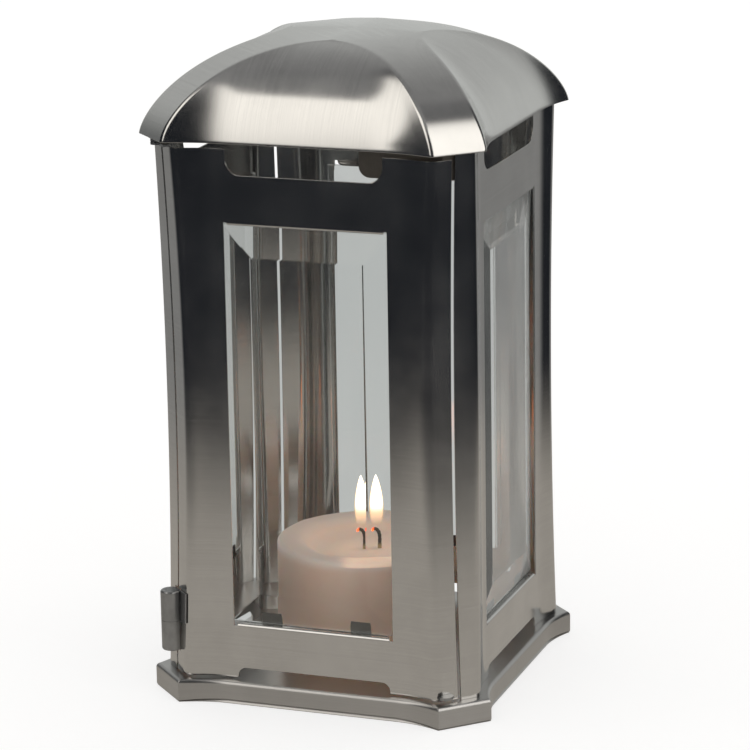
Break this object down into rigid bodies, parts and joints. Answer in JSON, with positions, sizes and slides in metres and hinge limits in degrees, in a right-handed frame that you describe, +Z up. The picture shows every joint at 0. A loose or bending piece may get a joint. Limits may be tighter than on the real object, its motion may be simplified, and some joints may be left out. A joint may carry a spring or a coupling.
{
  "type": "candle lantern",
  "caption": "Candle lantern of brushed sheet steel: waisted panels with bevelled panes, a hinged glazed door, a domed roof and a pillar candle on a low tray.",
  "frame": {"origin": "centre of the underside, on the surface the lantern stands on", "axes": "+Z up along the lantern's vertical axis, -Y towards the front door, +X to the right seen from the front"},
  "size_m": [0.16, 0.16, 0.2955],
  "materials": {
    "steel_sheet": "brushed, warm satin",
    "steel_fittings": "dull, plain",
    "clear_glass": "clear, bevelled and polished",
    "candle_wax": "soft satin wax, slightly translucent",
    "candle_wick": "charred cotton"
  },
  "bodies": {
    "frame": {"base_tray": "steel_sheet", "bottom_pan": "steel_sheet", "back_panel": "steel_sheet", "left_panel": "steel_sheet", "right_panel": "steel_sheet", "back_pane": "clear_glass", "left_pane": "clear_glass", "right_pane": "clear_glass", "back_pane_clips": "steel_fittings", "left_pane_clips": "steel_fittings", "right_pane_clips": "steel_fittings", "roof": "steel_sheet", "hinge_frame_knuckle": "steel_fittings", "hinge_pin": "steel_fittings", "pivot_bracket": "steel_fittings", "pivot_pin": "steel_fittings", "door_stop": "steel_fittings"},
    "door": {"front_door": "steel_sheet", "door_pane": "clear_glass", "door_pane_clips": "steel_fittings", "hinge_door_knuckle": "steel_fittings", "door_pivot_lug": "steel_fittings", "door_pull": "steel_fittings"},
    "candle": {"candle": "candle_wax", "wick": "candle_wick"}
  },
  "joints": [
    {"name": "door_hinge", "type": "hinge", "parent": "frame", "child": "door", "pos_m": [-0.06865, -0.06865, 0.035], "axis": [0, 0, -1], "range_deg": [0, 110]},
    {"name": "candle_lift", "type": "slide", "parent": "frame", "child": "candle", "axis": [0, 0, 1], "range_m": [0, 0.04]}
  ]
}
